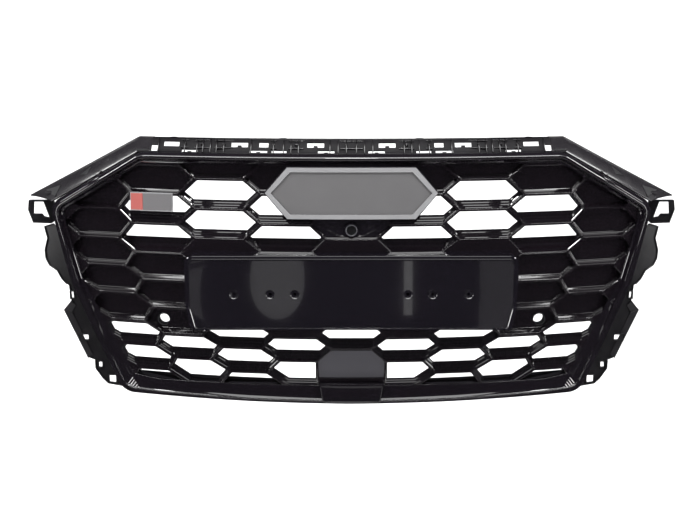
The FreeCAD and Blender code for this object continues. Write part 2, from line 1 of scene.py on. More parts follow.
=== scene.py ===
import bpy
import bmesh
from math import atan2, copysign, cos, dist, pi, radians, sin, sqrt, tan
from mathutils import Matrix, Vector


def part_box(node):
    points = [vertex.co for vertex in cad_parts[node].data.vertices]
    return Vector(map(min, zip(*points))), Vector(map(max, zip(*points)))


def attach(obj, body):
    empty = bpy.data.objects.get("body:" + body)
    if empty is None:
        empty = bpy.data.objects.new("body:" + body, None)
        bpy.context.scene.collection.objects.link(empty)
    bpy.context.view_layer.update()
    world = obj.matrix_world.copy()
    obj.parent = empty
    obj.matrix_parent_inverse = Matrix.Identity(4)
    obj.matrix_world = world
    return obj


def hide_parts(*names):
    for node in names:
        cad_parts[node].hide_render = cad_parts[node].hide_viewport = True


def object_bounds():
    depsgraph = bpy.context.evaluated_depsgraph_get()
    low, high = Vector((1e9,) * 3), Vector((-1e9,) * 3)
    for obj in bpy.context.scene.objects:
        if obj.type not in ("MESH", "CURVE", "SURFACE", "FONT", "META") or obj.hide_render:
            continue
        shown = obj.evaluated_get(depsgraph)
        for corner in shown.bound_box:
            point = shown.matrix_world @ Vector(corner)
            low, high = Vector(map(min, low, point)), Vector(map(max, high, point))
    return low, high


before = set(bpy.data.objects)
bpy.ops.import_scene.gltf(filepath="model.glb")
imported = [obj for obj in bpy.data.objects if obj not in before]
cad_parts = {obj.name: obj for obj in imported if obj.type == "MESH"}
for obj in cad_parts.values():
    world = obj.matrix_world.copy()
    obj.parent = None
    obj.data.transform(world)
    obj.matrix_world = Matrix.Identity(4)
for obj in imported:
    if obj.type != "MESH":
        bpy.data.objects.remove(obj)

cadBox = [list(corner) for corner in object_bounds()]
print("frame loaded")


def nodeBox(node):
    # a CAD node's lowest and highest corners, in millimetres
    return [[value * 1000 for value in corner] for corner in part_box(node)]


# The grille follows one double-curved face: a sphere whose foremost point is on the centreline.
face = {"radius": 1500.0, "poleY": -66.0, "poleZ": -250.0}


def faceY(x, z, forward=0.0):
    rise = face["radius"] ** 2 - x * x - (z - face["poleZ"]) ** 2
    return face["poleY"] + face["radius"] - sqrt(rise) - forward


def onFace(x, z, forward=0.0):
    return x, faceY(x, z, forward), z


def between(a, b, share):
    return tuple(p + (q - p) * share for p, q in zip(a, b))


def arc(radius, steps, start=0.0, turn=2 * pi):
    angles = [start + turn * i / steps for i in range(steps + 1)]
    return [(radius * cos(angle), radius * sin(angle)) for angle in angles]


def sides(corners):
    # each corner with the next one, all the way round
    return zip(corners, corners[1:] + corners[:1])


# shader maths and nodes

class Shade:
    # a node's output that adds Math nodes when it is used in sums

    def __init__(self, sheet, socket):
        self.sheet = sheet
        self.socket = socket

    def maths(self, operation, other):
        return self.sheet.node("ShaderNodeMath", {"operation": operation}, {0: self.socket, 1: other})

    def __add__(self, other):
        return self.maths("ADD", other)

    def __sub__(self, other):
        return self.maths("SUBTRACT", other)

    def __rsub__(self, other):
        return Shade(self.sheet, other).maths("SUBTRACT", self)

    def __mul__(self, other):
        return self.maths("MULTIPLY", other)

    __radd__ = __add__
    __rmul__ = __mul__

    def clamped(self):
        return self.sheet.node("ShaderNodeClamp", {}, {"Value": self})


class Sheet:
    # the nodes of one material, or of the world

    def __init__(self, name, kind="materials"):
        self.material = getattr(bpy.data, kind).new(name)
        self.material.use_nodes = True
        self.tree = self.material.node_tree
        self.surface = self.tree.nodes.get("Principled BSDF")

    def node(self, kind, settings=None, inputs=None, output=0):
        made = self.tree.nodes.new(kind)
        for name, value in (settings or {}).items():
            if name == "stops":
                # places along the ramp, each with its grey
                for place, _ in value[2:]:
                    made.color_ramp.elements.new(place)
                for element, (place, grey) in zip(made.color_ramp.elements, value):
                    element.position = place
                    element.color = (grey, grey, grey, 1)
            else:
                setattr(made, name, value)
        for key, value in (inputs or {}).items():
            self.plug(made.inputs[key], value)
        return Shade(self, made.outputs[output])

    def plug(self, socket, value):
        value = getattr(value, "socket", value)
        if isinstance(value, bpy.types.NodeSocket):
            self.tree.links.new(value, socket)
        elif hasattr(socket.default_value, "__len__") and len(value) < len(socket.default_value):
            socket.default_value = (*value, 1)
        else:
            socket.default_value = value

    def set(self, **sockets):
        names = {"colour": "Base Color", "roughness": "Roughness", "metallic": "Metallic", "ior": "IOR",
                 "coat": "Coat Weight", "coatRoughness": "Coat Roughness", "normal": "Normal",
                 "specular": "Specular IOR Level"}
        for name, value in sockets.items():
            self.plug(self.surface.inputs[names[name]], value)

    def place(self):
        return self.node("ShaderNodeTexCoord", output=3)

    def stretched(self, scale):
        return self.node("ShaderNodeMapping", {}, {"Vector": self.place(), "Scale": scale})

    def noise(self, scale, detail=3.0, roughness=0.5, place=None):
        return self.node("ShaderNodeTexNoise", {}, {
            "Vector": place or self.place(), "Scale": scale, "Detail": detail, "Roughness": roughness})

    def cells(self, scale):
        return self.node("ShaderNodeTexVoronoi", {}, {"Vector": self.place(), "Scale": scale})

    def ramp(self, value, stops):
        return self.node("ShaderNodeValToRGB", {"stops": stops}, {"Fac": value})

    def blend(self, factor, first, second):
        return self.node("ShaderNodeMix", {"data_type": "RGBA"}, {0: factor, 6: first, 7: second}, 2)

    def bump(self, height, distance, strength=1.0):
        return self.node("ShaderNodeBump", {}, {"Height": height, "Distance": distance, "Strength": strength})


# building meshes: every shape below is worked out in millimetres

weld = {"verts": 0.00002, "slivers": 0.00001}  # metres


def metres(point):
    return Vector(point) * 0.001


def addObject(name, data):
    made = bpy.data.objects.new(name, data)
    bpy.context.scene.collection.objects.link(made)
    return made


def finishPiece(piece, material, stands=(), bevel=0.0):
    piece.data.materials.clear()
    piece.data.materials.append(material)
    if bevel:
        softenEdges(piece, bevel)
    even = piece.modifiers.new("evenNormals", "WEIGHTED_NORMAL")
    even.keep_sharp = True
    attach(piece, "root")
    if stands:
        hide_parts(*stands)


def softenEdges(piece, width, segments=2, angle=35.0):
    bevel = piece.modifiers.new("softEdges", "BEVEL")
    bevel.width = width * 0.001
    bevel.segments = segments
    bevel.limit_method = "ANGLE"
    bevel.angle_limit = radians(angle)
    bevel.miter_outer = "MITER_ARC"
    bevel.harden_normals = True


class Shape:
    # points and faces collected for one piece

    def __init__(self):
        self.points = []
        self.faces = []

    def loop(self, points):
        start = len(self.points)
        self.points += [tuple(p) for p in points]
        return list(range(start, len(self.points)))

    def bridge(self, first, second):
        for (a, b), (c, d) in zip(sides(first), sides(second)):
            self.faces.append((a, b, d, c))

    def loft(self, loops, startCap=False, endCap=False):
        rings = [self.loop(points) for points in loops]
        for first, second in zip(rings, rings[1:]):
            self.bridge(first, second)
        if startCap:
            self.faces.append(rings[0][::-1])
        if endCap:
            self.faces.append(rings[-1])

    def solid(self, loops):
        self.loft(loops, startCap=True, endCap=True)

    def box(self, low, high):
        (x0, y0, z0), (x1, y1, z1) = low, high
        bottom = [(x0, y0, z0), (x1, y0, z0), (x1, y1, z0), (x0, y1, z0)]
        self.solid([bottom, [(x, y, z1) for x, y, z in bottom]])

    def make(self, name, material, slot, stands=(), crease=32.0, bevel=0.0):
        shape = bpy.data.meshes.new(name)
        work = bmesh.new()
        corners = [work.verts.new(metres(p)) for p in self.points]
        for faceCorners in self.faces:
            if len(set(faceCorners)) > 2:
                work.faces.new([corners[i] for i in faceCorners])
        bmesh.ops.remove_doubles(work, verts=work.verts, dist=weld["verts"])
        bmesh.ops.dissolve_degenerate(work, edges=work.edges, dist=weld["slivers"])
        bmesh.ops.recalc_face_normals(work, faces=work.faces)
        work.to_mesh(shape)
        work.free()
        shape.shade_smooth()
        shape.set_sharp_from_angle(angle=radians(crease))
        piece = addObject(name, shape)
        finishPiece(piece, material, stands, bevel)
        return piece


def turned(profile, middle, axis=(0, -1, 0), steps=40):
    # loops of a profile of radius and height, turned about an axis through the middle
    axis = Vector(axis).normalized()
    across = axis.orthogonal().normalized()
    other = axis.cross(across)
    spokes = [across * a + other * b for a, b in arc(1, steps)[:-1]]
    return [[Vector(middle) + axis * height + spoke * radius for spoke in spokes]
            for radius, height in profile]


# outlines seen from the front: x, z pairs, run anticlockwise

def cornerStations(before, corner, after, arcSteps=8):
    # stations round a corner: x, z, inward direction x and z, then the corner's own values
    x, z, radius, inset, width = corner
    heading = atan2(z - before[1], x - before[0])
    turn = (atan2(after[1] - z, after[0] - x) - heading + pi) % (2 * pi) - pi
    if radius == 0:
        middle = heading + turn / 2
        return [(x, z, -sin(middle), cos(middle), inset, width)]
    lean = tan(turn / 2)
    innerRadius = max(radius - width, min(10.0, radius))
    endX = x - radius * lean * cos(heading)
    endZ = z - radius * lean * sin(heading)
    centreX = endX - radius * sin(heading)
    centreZ = endZ + radius * cos(heading)
    reach = (width + innerRadius) / radius
    innerX = x + reach * (centreX - x)
    innerZ = z + reach * (centreZ - z)
    stations = []
    for i in range(arcSteps + 1):
        angle = heading + turn * i / arcSteps
        px = centreX + radius * sin(angle)
        pz = centreZ - radius * cos(angle)
        inwardX = (innerX + innerRadius * sin(angle) - px) / width
        inwardZ = (innerZ - innerRadius * cos(angle) - pz) / width
        stations.append((px, pz, inwardX, inwardZ, inset, width))
    return stations


def outlineStations(corners, step):
    groups = [cornerStations(*three) for three in zip(corners[-1:] + corners, corners, corners[1:] + corners)]
    stations = []
    for group, following in sides(groups):
        stations += group
        count = max(1, round(dist(group[-1][:2], following[0][:2]) / step))
        stations += [between(group[-1], following[0], i / count) for i in range(1, count)]
    return stations


def inward(station, distance):
    return station[0] + station[2] * distance, station[1] + station[3] * distance


def sweepRing(shape, stations, section):
    # one closed loop of section points at each station, on the curved face
    rings = []
    for station in stations:
        rings.append(shape.loop(onFace(*inward(station, distance), forward)
                                for distance, forward in section(station)))
    for first, second in sides(rings):
        shape.bridge(first, second)


# surround: the bead, its land and the reveal round the honeycomb

surroundTop = nodeBox("surround_bezel")[1][2]
surround = {
    # left half from the top middle: x, z, corner radius, how far in the bead runs, width of the reveal
    "corners": [(0, surroundTop, 0, 6, 15), (-340, surroundTop, 40, 6, 17), (-499, -109, 26, 10, 19),
                (-466, -238, 150, 13, 22), (-384, -424, 30, 11, 33), (-322, -425, 0, 9, 28),
                (-167, -427.5, 0, 7, 30.6), (0, -429, 0, 7, 32.2)],
    "step": 20.0, "beadTop": 14.5, "beadHalf": 3.2, "beadThin": 1.5, "thinWidths": (22.0, 6.0), "land": 8.6,
    # the reveal's ledges: share of the way in, share of the height
    "ledges": [(0.16, 0.80), (0.19, 0.70), (0.42, 0.50), (0.45, 0.41), (0.72, 0.18)],
    "blockHalf": 52.5, "blockZ": (-424.5, -390.5), "blockRise": 13.4, "blockTaper": 5.0,
    # inset and depth of each step of the block's rounded edge
    "blockSteps": [(0.0, 11.4), (0.0, 2.0), (0.5, 0.9), (1.8, 0.2), (4.0, 0.0)],
    "ribs": 5, "ribStart": (-372.5, -405.5), "ribStep": (3.7, -2.2), "ribLength": 11.0, "ribShorter": 1.6,
    "ribForward": 10.0, "ribLift": 0.4, "ribSink": 0.5, "ribRadius": 0.5, "ribLean": (0.61, 0.79),
}
rightCorners = [(-corner[0], *corner[1:]) for corner in surround["corners"] if corner[0]]
surroundStations = outlineStations(surround["corners"] + rightCorners[::-1], surround["step"])


def beadSection(station):
    inset, width = station[4], station[5]
    # the bead thins out along the lower edge, where the reveal is wide
    thinFrom, thinOver = surround["thinWidths"]
    thin = surround["beadThin"] * min(1.0, max(0.0, (width - thinFrom) / thinOver))
    top, half = surround["beadTop"] - thin, surround["beadHalf"] - thin
    section = [(0, -8), (0, 2.6), (0.5, 4.8), (1.1, 6.3)]
    if inset > 7.5:
        section += [(inset - half - 2.2, surround["land"] - 0.4), (inset - half - 0.6, surround["land"])]
    else:
        section += [(1.5, 7.2), (1.9, 8.2)]
    section += [(inset + a, top - half + b) for a, b in arc(half, 8, pi, -pi)]
    low = top - half
    start, run = inset + half + 0.5, width - inset - half - 1.7
    section.append((start, low - 1.2))
    section += [(start + along * run, 1.2 + (low - 2.4) * up) for along, up in surround["ledges"]]
    section += [(width - 0.5, 0.9), (width, 0.2), (width, -2.4), (inset + 3, 5.0), (3, 3.0), (3, -8)]
    return section


def makeSurround(material):
    shape = Shape()
    sweepRing(shape, surroundStations, beadSection)
    shape.make("surround", material, "bezel_gloss", stands=["surround_bezel"], crease=50)
    # the raised block at the bottom middle
    block = Shape()
    half, rise, taper = surround["blockHalf"], surround["blockRise"], surround["blockTaper"]
    low, high = surround["blockZ"]
    loops = []
    for inset, below in surround["blockSteps"]:
        corners = [(-half + inset, high - inset), (half - inset, high - inset),
                   (half - taper - inset, low + inset), (-half + taper + inset, low + inset)]
        loops.append([onFace(*between(a, b, i / 6), rise - below)
                      for a, b in sides(corners) for i in range(6)])
    block.loft(loops + floorRings(loops[-1], -rise), endCap=True)
    block.make("surroundBlock", material, "bezel_gloss", crease=40)
    # short parallel ribs in the lower corners, each shorter than the last; their pale grey finish is a
    # painted highlight on black plastic
    ribs = Shape()
    for i in range(surround["ribs"]):
        x, z = (start + step * i for start, step in zip(surround["ribStart"], surround["ribStep"]))
        length = surround["ribLength"] - surround["ribShorter"] * i
        forward = surround["ribForward"] + surround["ribLift"] * i
        path = [(x, z), tuple(a + b * length for a, b in zip((x, z), surround["ribLean"]))]
        for side in (-1, 1):
            beadAlong(ribs, side, path, -forward, surround["ribRadius"], surround["ribSink"] * length)
    ribs.make("surroundRibs", finishes["rib"], "bezel_gloss", crease=50)


# honeycomb

sensorMiddle = [(low + high) / 2 for low, high in zip(*nodeBox("sensor_holder_right"))]
comb = {
    # a cell is named by its column, counted from the middle, and its row; "open", "blind", "sills",
    # "hooded" and "wallDrafts" go by column and row, the same on both sides
    "columns": [0.0, 104.5, 211.0, 318.0, 414.0, 513.0], "outerBar": 0.87,
    "firstRow": -35.9, "rowSteps": [(5, 23.9), (6, 22.9), (8, 20.9)], "rowSag": 5.5, "sagReach": 414.0,
    "taperRow": 5, "taper": 0.014, "taperSquare": 0.00065, "barHalf": 39.5, "barShrink": 1.0,
    "depth": 25.0, "blindDepth": 12.0, "floor": 3.0, "crest": 1.9,
    # share of the crest and depth of its rounding, then depth and share of the draft for the walls,
    # which fall in steps with a narrow ledge between them
    "crestSteps": [(0.45, 0.0), (0.68, 0.06), (0.84, 0.26), (0.95, 0.62), (1.0, 1.2)],
    "openSteps": [(3.4, 0.08), (3.9, 0.20), (9.4, 0.34), (9.9, 0.48),
                  (16.4, 0.62), (17.0, 0.78), (24.2, 0.96), (25.0, 1.0)],
    "blindSteps": [(3.4, 0.08), (3.9, 0.20), (8.6, 0.36), (9.2, 0.44), (11.5, 0.50), (12.0, 0.56)],
    "rise": 10.6, "sills": {(3, 2): 15.0, (1, 4): 20.0, (3, 4): 20.0, (1, 14): 17.0, (3, 14): 15.0},
    "drop": 3.0, "hood": 9.0, "lowerSide": 5.1, "upperSide": 2.6,
    "open": {0: [3, 11], 1: [2, 4, 12, 14], 2: [1, 3, 11, 13, 15], 3: [2, 4, 12, 14], 4: [11, 13, 15]},
    "blind": {0: [1], 1: [0], 2: [-1], 3: [0, 6, 8, 10], 4: [1, 3, 5, 7, 9]},
    "hooded": [(3, 12), (4, 11), (1, 12)], "wallDrafts": {(1, 14): 4.8},
    "sensorCell": (3, 10), "sensorX": sensorMiddle[0], "sensorZ": sensorMiddle[2], "sensorR": 9.0,
    "sensorSteps": [(5.0, 0.0), (0.8, 0.0), (0.2, 0.2), (0.0, 0.8), (0.0, 3.0)],
    "radarSide": 54.4, "radarLow": -386.0, "footLow": -398.0,
    "radarSteps": [(0.0, 0.0), (0.6, 0.05), (1.1, 0.3), (1.4, 1.0), (1.6, 8.0)],
    # the closed skirt behind the surround: how far in, how far back
    "skirtIn": 6.8, "skirtBack": (3.2, 20.0), "wallGap": 0.5,
}


def rowZ(k, x):
    z = comb["firstRow"] - comb["rowSag"] * (x / comb["sagReach"]) ** 2
    for count, step in comb["rowSteps"]:
        rows = min(k, count)
        z -= rows * step
        k -= rows
    return z


def barEnds(c, k):
    below = max(0, k - comb["taperRow"])
    scale = 1 - comb["taper"] * below - comb["taperSquare"] * below ** 2
    half = comb["barHalf"] - comb["barShrink"] * below
    if abs(c) >= 4:
        half *= comb["outerBar"]
    column = comb["columns"][abs(c)] if abs(c) < 6 else 612.0
    x = copysign(column, c) * scale
    return x - half, x + half, rowZ(k, x)


def cellCorners(c, k):
    topLeft, topRight, top = barEnds(c, k)
    lowLeft, lowRight, low = barEnds(c, k + 2)
    left, right = barEnds(c - 1, k + 1), barEnds(c + 1, k + 1)
    return [(topLeft, top), (topRight, top), (right[0], right[2]),
            (lowRight, low), (lowLeft, low), (left[1], left[2])]


def clipped(corners, walls):
    # corners carry the label of the edge that starts at them; walls are inward normals and offsets
    for nx, nz, offset in walls:
        kept = []
        for (x0, z0, label), (x1, z1, _) in sides(corners):
            a = nx * x0 + nz * z0 - offset
            b = nx * x1 + nz * z1 - offset
            if a >= 0:
                kept.append((x0, z0, label))
            if (a > 0 > b) or (a < 0 < b):
                t = a / (a - b)
                kept.append((x0 + t * (x1 - x0), z0 + t * (z1 - z0), label if b > 0 else "wall"))
        corners = kept
        if len(corners) < 3:
            return []
    return corners


def edgeLines(corners):
    lines = []
    for (x0, z0, label), (x1, z1, _) in sides(corners):
        length = dist((x0, z0), (x1, z1))
        if length > 0.5:
            nx, nz = (z1 - z0) / length, -(x1 - x0) / length
            lines.append((nx, nz, nx * x0 + nz * z0, label))
    return lines


def insetCorners(lines, insets):
    corners = []
    for (a0, b0, c0, before), (a1, b1, c1, label) in zip(lines[-1:] + lines[:-1], lines):
        c0, c1 = c0 + insets[before], c1 + insets[label]
        det = a0 * b1 - a1 * b0
        if abs(det) < 1e-4:
            return None
        corners.append(((c0 * b1 - c1 * b0) / det, (a0 * c1 - a1 * c0) / det))
    return corners


def vanishing(lines, corners):
    # index of the edge that an inset has turned back on itself, or None
    worst, worstLength = None, 0.4
    for i, ((x0, z0), (x1, z1)) in enumerate(sides(corners)):
        forward = (x1 - x0) * -lines[i][1] + (z1 - z0) * lines[i][0]
        if forward < worstLength:
            worst, worstLength = i, forward
    return worst


def usableLines(lines, insets):
    while len(lines) > 3:
        corners = insetCorners(lines, insets)
        if corners is None:
            return None
        weak = vanishing(lines, corners)
        if weak is None:
            return lines
        lines = lines[:weak] + lines[weak + 1:]
    return None


def cellInsets(c, k, fraction):
    drop = comb["hood"] if (abs(c), k) in comb["hooded"] else comb["drop"]
    rise = comb["sills"].get((abs(c), k), comb["rise"])
    drafts = [drop, comb["upperSide"], comb["lowerSide"], rise, comb["lowerSide"], comb["upperSide"]]
    insets = {label: comb["crest"] + draft * fraction for label, draft in enumerate(drafts)}
    insets["wall"] = comb["wallDrafts"].get((abs(c), k), 0.3) * fraction
    return insets


def evenInsets(inset, wall=0.0):
    return {**dict.fromkeys(range(6), inset), "wall": wall}


def levelPoints(lines, insets, depth):
    points = []
    for line, (a, b) in zip(lines, sides(insetCorners(lines, insets))):
        parts = 5 if line[3] in (0, 3) else 3
        points += [onFace(*between(a, b, j / parts), -depth) for j in range(parts)]
    return points


def floorRings(points, depth):
    # rings shrinking to the middle, so that a floor keeps the curve of the face
    middle = [sum(values) / len(points) for values in zip(*((x, z) for x, _, z in points))]
    return [[onFace(*between(middle, (x, z), share), -depth) for x, _, z in points]
            for share in (0.72, 0.42, 0.14)]


def roundHole(loop, middle, radius, depth):
    # a circle with as many points as the loop, each at its own point's bearing
    x, z = middle
    ring = []
    for px, _, pz in loop:
        angle = atan2(pz - z, px - x)
        ring.append(onFace(x + radius * cos(angle), z + radius * sin(angle), -depth))
    return ring


def addCell(shape, c, k, kind, walls):
    corners = clipped([(x, z, label) for label, (x, z) in enumerate(cellCorners(c, k))], walls)
    lines = edgeLines(corners)
    if len(lines) < 3:
        return
    steps = comb.get(kind + "Steps")
    lines = steps and usableLines(lines, cellInsets(c, k, steps[-1][1]))
    if not lines:
        # a plain panel, 5 mm thick
        flat, back = ([onFace(x, z, -level) for x, z, _ in corners] for level in (0.0, 5.0))
        shape.loft([flat, *floorRings(flat, 0.0)], endCap=True)
        shape.loft([flat, back, *floorRings(back, 5.0)], endCap=True)
        return
    depth = comb["depth"]
    front = levelPoints(lines, evenInsets(0.0), 0.0)
    foot = levelPoints(lines, evenInsets(0.0), depth)
    loops = [front]
    loops += [levelPoints(lines, evenInsets(comb["crest"] * share), level)
              for share, level in comb["crestSteps"]]
    loops += [levelPoints(lines, cellInsets(c, k, share), level) for level, share in steps]
    if kind == "open":
        shape.loft([*loops, foot])
        return
    # a blind cell has a floor, and a hollow behind it
    floor, behind = comb["blindDepth"], comb["blindDepth"] + comb["floor"]
    back = [front, foot, levelPoints(lines, evenInsets(2.2, 0.3), depth),
            levelPoints(lines, evenInsets(4.7, 0.6), behind)]
    if (abs(c), k) == comb["sensorCell"]:
        middle = (copysign(comb["sensorX"], c), comb["sensorZ"])
        loops += [roundHole(loops[-1], middle, comb["sensorR"] + grow, floor + level)
                  for grow, level in comb["sensorSteps"]]
        back += [roundHole(back[-1], middle, comb["sensorR"] + 5, behind)]
        shape.loft(loops)
        shape.loft([*back, loops[-1]])
        return
    shape.loft(loops + floorRings(loops[-1], floor), endCap=True)
    shape.loft(back + floorRings(back[-1], behind), endCap=True)


def addRadarFrame(shape):
    # the crest round the radar cover, whose lower half is wider than a cell
    topLeft, topRight, top = barEnds(0, 13)
    side = barEnds(1, 14)
    half, low, foot = comb["radarSide"], comb["radarLow"], comb["footLow"]
    panel = [onFace(x, z) for x, z in ((-half, low), (half, low), (half, foot), (-half, foot))]
    shape.loft([panel, *floorRings(panel, 0.0)], endCap=True)
    shape.loft([panel, [(x, y + comb["depth"], z) for x, y, z in panel]])
    outline = [(topLeft, top), (topRight, top), (side[0], side[2]),
               (half, low), (-half, low), (-side[0], side[2])]
    lines = edgeLines([(x, z, label) for label, (x, z) in enumerate(outline)])
    loops = [levelPoints(lines, evenInsets(inset), level) for inset, level in comb["radarSteps"]]
    shape.loft(loops)
    shape.loft([loops[0], levelPoints(lines, evenInsets(0.0), comb["depth"])])


def combWalls():
    # the surround's opening as inward normals and offsets
    opening = [inward(station, station[5] - comb["wallGap"]) for station in surroundStations]
    walls = []
    for (x0, z0), (x1, z1) in sides(opening):
        length = dist((x0, z0), (x1, z1))
        if length > 0.2:
            nx, nz = -(z1 - z0) / length, (x1 - x0) / length
            if not walls or nx * walls[-1][0] + nz * walls[-1][1] < 0.9998:
                walls.append((nx, nz, nx * x0 + nz * z0))
    return walls


def skirtSection(station):
    outer, inner = comb["skirtIn"], station[5] - comb["wallGap"]
    near, far = comb["skirtBack"]
    return [(outer, -near), (inner, -near), (inner, -far), (outer, -far)]


def makeComb(material):
    shape = Shape()
    walls = combWalls()
    for c in range(-6, 7):
        for k in range(-2, 20):
            if (c + k) % 2:
                kinds = [kind for kind in ("open", "blind") if k in comb[kind].get(abs(c), [])]
                kind = kinds[0] if kinds else "flat"
                if abs(c) == 1 and k >= 14:
                    addCell(shape, c, k, kind, [*walls, (c, 0, comb["radarSide"])])
                elif c or k < 13:
                    addCell(shape, c, k, kind, walls)
    addRadarFrame(shape)
    sweepRing(shape, surroundStations, skirtSection)
    shape.make("honeycomb", material, "mesh_gloss", stands=["honeycomb_mesh"], crease=28)


# number plate plinth

plateLow, plateHigh = nodeBox("plate_plinth")
plate = {
    "half": plateHigh[0], "foot": plateHigh[0] - 8.0, "bottom": plateLow[2], "top": plateLow[2] + 120.0,
    "taperZ": plateLow[2] + 39.0, "front": plateLow[1],
    "corner": 14.0, "recess": 2.2,
    # the rim's rounded edge: inset, depth behind the front, inset at the foot
    "rim": [(0.0, 2.6, 0.0), (0.312, 1.43, 0.312), (0.988, 0.52, 0.988), (2.6, 0.0, 2.6), (4.4, 0.0, 2.9),
            (5.2, 0.352, 3.0), (6.0, 1.21, 3.1), (6.9, 1.98, 3.3), (8.2, 2.2, 3.6)],
    "holes": [-185, -128, -89, 89, 128, 185], "holeZ": -236.0,
    # radius and height of each ring of a dimple
    "dimple": [(7.6, 0.0), (7.35, -0.35), (6.9, -0.9), (6.3, -1.4), (5.4, -1.5), (3.2, -1.5),
               (2.5, -1.7), (2.2, -2.3), (2.2, -10.5)],
}


def plinthCorners(inset, bottomInset):
    top, bottom = plate["top"] - inset, plate["bottom"] + bottomInset
    half, foot = plate["half"] - inset, plate["foot"] - inset
    radius = max(plate["corner"] - inset, 4.0)
    left = [(-foot + 3, bottom), (-foot, bottom + 3), (-half, plate["taperZ"]), (-half, plate["taperZ"] + 30)]
    left += [(-half + radius + a, top - radius + b) for a, b in arc(radius, 8, pi, -pi / 2)]
    left += [(-half + radius + (half - radius) * i / 12, top) for i in range(1, 12)]
    right = [(-x, z) for x, z in left[::-1]]
    bottomRun = [(foot - 3 - (2 * foot - 6) * i / 24, bottom) for i in range(1, 24)]
    return left + [(0.0, top)] + right + bottomRun


def makePlinth(material):
    shape = Shape()
    loops = [[onFace(x, z, 0.5) for x, z in plinthCorners(0.0, 0.0)]]
    loops += [[(x, plate["front"] + back, z) for x, z in plinthCorners(inset, bottomInset)]
              for inset, back, bottomInset in plate["rim"]]
    shape.loft(loops)
    piece = shape.make("plinth", material, "plinth_gloss", stands=["plate_plinth"], crease=35)
    # the flat face inside the rim, with its dimples
    work = bmesh.new()
    rimVerts = [work.verts.new(metres(p)) for p in loops[-1]]
    edges = [work.edges.new(ends) for ends in sides(rimVerts)]
    for x in plate["holes"]:
        middle = (x, plate["front"] + plate["recess"], plate["holeZ"])
        rings = [[work.verts.new(metres(p)) for p in loop] for loop in turned(plate["dimple"], middle)]
        for first, second in zip(rings, rings[1:]):
            for (a, b), (c, d) in zip(sides(first), sides(second)):
                work.faces.new((a, b, d, c))
        edges += [work.edges.get(ends) for ends in sides(rings[0])]
    bmesh.ops.triangle_fill(work, use_beauty=True, use_dissolve=False, edges=edges, normal=(0, -1, 0))
    work.from_mesh(piece.data)
    bmesh.ops.remove_doubles(work, verts=work.verts, dist=weld["verts"])
    bmesh.ops.recalc_face_normals(work, faces=work.faces)
    work.to_mesh(piece.data)
    work.free()
    piece.data.shade_smooth()
    piece.data.set_sharp_from_angle(angle=radians(20))


# upper rail: a curved strip with windows, tongues, ribs and clips

rail = {
    "reach": 324.0, "thickness": 2.2, "top": nodeBox("upper_rail")[1][2] - 0.2, "curveZ": -20,
    # y, z pairs of the strip, from its foot to its rear edge
    "section": [(-39.0, -21.0), (-36.5, -19.8), (-34.0, -18.4), (-20.5, -6.4),
                (-14.0, -1.4), (-12.0, -0.3), (5.5, 0.0)],
    "step": 7.0, "rowStep": 2.4,
    # windows: x, width, 1 for one with a tongue; all of them on both sides
    "windows": [((-11.8, -4.4), [(57, 27, 1), (140, 15, 0), (179, 27, 1), (291, 26, 0)]),
                ((-19.6, -15.8), [(40, 26, 1), (115, 24, 0), (148, 28, 1), (260, 26, 1)]),
                ((-19.0, -10.0), [(319, 13, 0)])],
    "tongueHalf": 3.2, "tongueTo": 0.34, "tongueZ": -9.2,
    "ribs": [8, 21, 34, 84, 96, 108, 124, 160, 204, 216, 226, 238, 248, 268, 312], "ribHalf": 0.8,
    "ribSection": [(-38.6, -20.4), (-39.6, -18.6), (-30.0, -10.4), (-21.0, -1.9),
                   (-16.0, 0.1), (-13.0, -0.4), (-20.5, -6.8), (-34.0, -18.8)],
    # clips: x and width, each with an upper and a lower bar and a stud between them
    "pads": [(8, 20), (88, 24), (124, 10), (204, 30), (240, 24), (268, 12)],
    "padZ": [(-14.6, -12.6), (-3.4, -2.0)], "studHalf": 2.2, "studZ": (-10.6, -8.6, -6.8),
    # y, z of the beads along the strip, and their radius
    "beads": [(-11.6, -0.1), (-38.6, -20.4)], "bead": 0.7,
    # screw holes: x and y, then radius and height of each ring of their eyes
    "holes": [(110, 0.0), (290, 26.0)],
    "eye": [(6.2, -0.4), (6.2, 0.4), (5.8, 0.7), (3.7, 0.7), (3.25, 0.3), (3.25, -2.6), (6.2, -2.6)],
}


def railBack(x):
    # how far the strip lies behind its middle
    reach = face["radius"] + face["poleY"] - faceY(0, rail["curveZ"])
    return reach - sqrt(reach * reach - x * x)


def alongSection(section, z):
    for (y0, z0), (y1, z1) in zip(section, section[1:]):
        if z0 <= z <= z1:
            return y0 + (y1 - y0) * (z - z0) / (z1 - z0)
    return section[-1][0]


def gridStops(values, low, high, step):
    # the values with even stops between them
    stops = sorted({round(v, 3) for v in values if low <= v <= high} | {low, high})
    filled = []
    for a, b in zip(stops, stops[1:]):
        count = max(1, round((b - a) / step))
        filled += [a + (b - a) * i / count for i in range(count)]
    return filled + [high]


def bothSides(rows):
    # rows whose first value is an x, on the left and on the right
    return [(side * row[0], *row[1:]) for row in rows for side in (-1, 1)]


def inWindow(x, z, windows):
    for left, right, low, high, tongue in windows:
        if left < x < right and low < z < high:
            offside = abs(x - (left + right) / 2)
            return not (tongue and offside < rail["tongueHalf"] and z < low + (high - low) * rail["tongueTo"])
    return False


